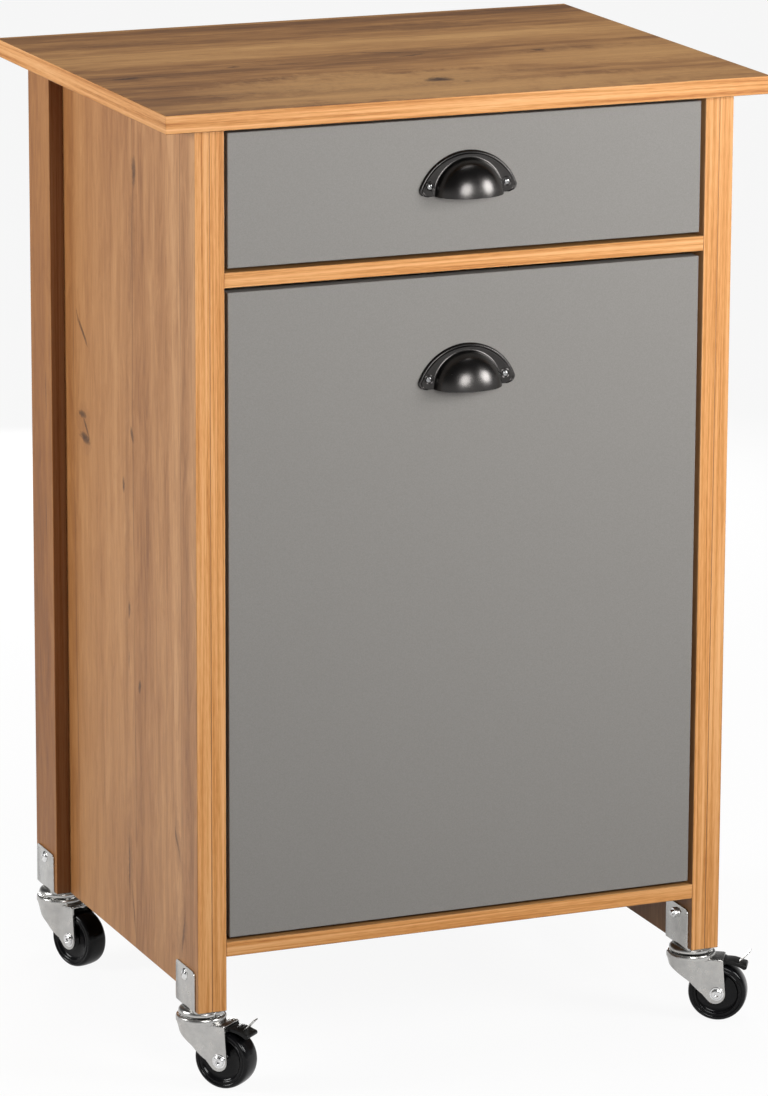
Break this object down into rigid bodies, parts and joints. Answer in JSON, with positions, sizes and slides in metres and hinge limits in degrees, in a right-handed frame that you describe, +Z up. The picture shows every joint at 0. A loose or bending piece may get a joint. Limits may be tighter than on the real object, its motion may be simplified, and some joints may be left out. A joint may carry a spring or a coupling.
{
  "type": "kitchen trolley with recycling bins",
  "caption": "Kitchen trolley on swivel casters with an oak-decor frame and worktop, a drawer, and a tall pull-out front that carries recycling bins.",
  "frame": {"origin": "on the floor, in the middle of the trolley's outline", "axes": "+Z up, -Y the way the fronts face, +X to the right of someone who faces the fronts"},
  "size_m": [0.6339, 0.5, 0.969],
  "materials": {
    "oak_decor": "satin oak decor",
    "grey_front": "matt grey melamine",
    "white_board": "matt white melamine",
    "hardboard": "matt painted hardboard",
    "zinc_steel": "bright zinc plate",
    "black_nickel": "polished black nickel",
    "black_wheel": "glossy",
    "black_lever": "glossy",
    "bin_plastic": "fine grain"
  },
  "bodies": {
    "cabinet": {"worktop": "oak_decor", "side_panel_left": "oak_decor", "side_panel_right": "oak_decor", "leg_strip_front_left": "oak_decor", "leg_strip_front_right": "oak_decor", "leg_strip_rear_left": "oak_decor", "leg_strip_rear_right": "oak_decor", "divider_board": "oak_decor", "bottom_board": "oak_decor", "back_panel": "hardboard", "caster_brackets": "zinc_steel", "bracket_screws": "zinc_steel", "drawer_runner_outer_left": "zinc_steel", "drawer_runner_outer_right": "zinc_steel", "bin_runner_outer_left": "zinc_steel", "bin_runner_outer_right": "zinc_steel"},
    "drawer": {"drawer_front": "grey_front", "drawer_pull": "black_nickel", "drawer_pull_screws": "zinc_steel", "drawer_side_left": "white_board", "drawer_side_right": "white_board", "drawer_back": "white_board", "drawer_bottom": "white_board", "drawer_runner_inner_left": "zinc_steel", "drawer_runner_inner_right": "zinc_steel"},
    "drawer_runner_middle": {"drawer_runner_middle_left": "zinc_steel", "drawer_runner_middle_right": "zinc_steel"},
    "bin_pullout": {"bin_front": "grey_front", "bin_pull": "black_nickel", "bin_pull_screws": "zinc_steel", "carrier_base": "white_board", "carrier_side_left": "white_board", "carrier_side_right": "white_board", "carrier_back": "white_board", "recycling_bin_left": "bin_plastic", "recycling_bin_right": "bin_plastic", "bin_runner_inner_left": "zinc_steel", "bin_runner_inner_right": "zinc_steel"},
    "bin_runner_middle": {"bin_runner_middle_left": "zinc_steel", "bin_runner_middle_right": "zinc_steel"},
    "caster_front_left": {"caster_fork_front_left": "zinc_steel"},
    "wheel_front_left": {"caster_wheel_front_left": "black_wheel"},
    "brake_front_left": {"brake_lever_front_left": "black_lever"},
    "caster_front_right": {"caster_fork_front_right": "zinc_steel"},
    "wheel_front_right": {"caster_wheel_front_right": "black_wheel"},
    "brake_front_right": {"brake_lever_front_right": "black_lever"},
    "caster_rear_left": {"caster_fork_rear_left": "zinc_steel"},
    "wheel_rear_left": {"caster_wheel_rear_left": "black_wheel"},
    "caster_rear_right": {"caster_fork_rear_right": "zinc_steel"},
    "wheel_rear_right": {"caster_wheel_rear_right": "black_wheel"}
  },
  "joints": [
    {"name": "drawer_slide", "type": "slide", "parent": "cabinet", "child": "drawer", "axis": [0, -1, 0], "range_m": [0, 0.35]},
    {"name": "drawer_runner_slide", "type": "slide", "parent": "cabinet", "child": "drawer_runner_middle", "axis": [0, -1, 0], "range_m": [0, 0.175]},
    {"name": "bin_slide", "type": "slide", "parent": "cabinet", "child": "bin_pullout", "axis": [0, -1, 0], "range_m": [0, 0.4]},
    {"name": "bin_runner_slide", "type": "slide", "parent": "cabinet", "child": "bin_runner_middle", "axis": [0, -1, 0], "range_m": [0, 0.2]},
    {"name": "swivel_front_left", "type": "hinge", "parent": "cabinet", "child": "caster_front_left", "pos_m": [-0.265, -0.194, 0.068], "axis": [0, 0, 1], "continuous": true},
    {"name": "wheel_roll_front_left", "type": "hinge", "parent": "caster_front_left", "child": "wheel_front_left", "pos_m": [-0.247, -0.21545, 0.03], "axis": [-0.766, -0.6428, 0], "continuous": true},
    {"name": "brake_press_front_left", "type": "hinge", "parent": "caster_front_left", "child": "brake_front_left", "pos_m": [-0.24475, -0.21813, 0.062], "axis": [-0.766, -0.6428, 0], "range_deg": [-11, 0]},
    {"name": "swivel_front_right", "type": "hinge", "parent": "cabinet", "child": "caster_front_right", "pos_m": [0.265, -0.194, 0.068], "axis": [0, 0, 1], "continuous": true},
    {"name": "wheel_roll_front_right", "type": "hinge", "parent": "caster_front_right", "child": "wheel_front_right", "pos_m": [0.289, -0.20842, 0.03], "axis": [-0.515, -0.8572, 0], "continuous": true},
    {"name": "brake_press_front_right", "type": "hinge", "parent": "caster_front_right", "child": "brake_front_right", "pos_m": [0.292, -0.21022, 0.062], "axis": [-0.515, -0.8572, 0], "range_deg": [-11, 0]},
    {"name": "swivel_rear_left", "type": "hinge", "parent": "cabinet", "child": "caster_rear_left", "pos_m": [-0.265, 0.219, 0.068], "axis": [0, 0, 1], "continuous": true},
    {"name": "wheel_roll_rear_left", "type": "hinge", "parent": "caster_rear_left", "child": "wheel_rear_left", "pos_m": [-0.25406, 0.19323, 0.03], "axis": [-0.9205, -0.3907, 0], "continuous": true},
    {"name": "swivel_rear_right", "type": "hinge", "parent": "cabinet", "child": "caster_rear_right", "pos_m": [0.265, 0.219, 0.068], "axis": [0, 0, 1], "continuous": true},
    {"name": "wheel_roll_rear_right", "type": "hinge", "parent": "caster_rear_right", "child": "wheel_rear_right", "pos_m": [0.28645, 0.201, 0.03], "axis": [-0.6428, -0.766, 0], "continuous": true}
  ],
  "couplings": [
    {"joint": "drawer_runner_slide", "follows": "drawer_slide", "ratio": 0.5},
    {"joint": "bin_runner_slide", "follows": "bin_slide", "ratio": 0.5}
  ]
}
